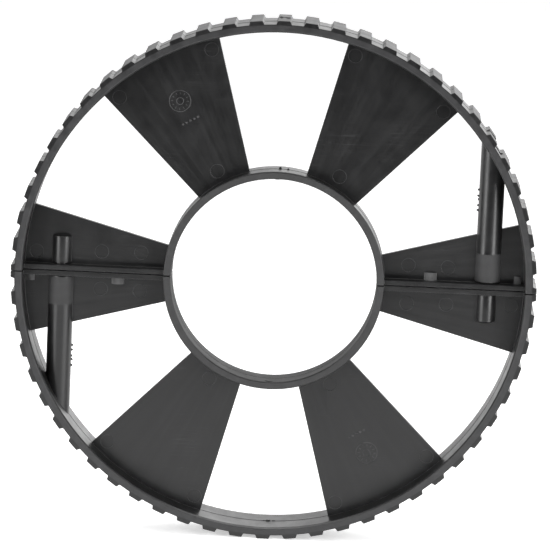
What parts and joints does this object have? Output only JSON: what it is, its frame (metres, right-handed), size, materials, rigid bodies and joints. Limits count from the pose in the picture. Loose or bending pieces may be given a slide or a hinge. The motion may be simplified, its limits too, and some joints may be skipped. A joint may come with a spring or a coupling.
{
  "type": "clamp-on toothed ring",
  "caption": "Split toothed ring: half rings with a cylindrical hub and flat radial webs with open windows, pulled together round a tube by long screws.",
  "frame": {"origin": "centre of the ring, where its axis crosses the plane of the split, in the middle of its width", "axes": "+Y along the ring's axis, away from its front face; +Z at right angles to the split, from the lower half to the upper half"},
  "size_m": [0.26, 0.029, 0.26],
  "materials": {
    "moulded_plastic": "black polypropylene as moulded, satin",
    "plated_steel": "bright zinc plate"
  },
  "bodies": {
    "lower_half": {"lower_half_ring": "moulded_plastic"},
    "upper_half": {"upper_half_ring": "moulded_plastic"},
    "right_screw": {"right_clamp_screw": "plated_steel"},
    "left_screw": {"left_clamp_screw": "plated_steel"}
  },
  "joints": [
    {"name": "halves_apart", "type": "slide", "parent": "lower_half", "child": "upper_half", "axis": [0, 0, 1], "range_m": [0, 0.055]},
    {"name": "right_screw_out", "type": "slide", "parent": "upper_half", "child": "right_screw", "axis": [0, 0, 1], "range_m": [0, 0.096]},
    {"name": "left_screw_out", "type": "slide", "parent": "lower_half", "child": "left_screw", "axis": [0, 0, -1], "range_m": [0, 0.096]}
  ]
}
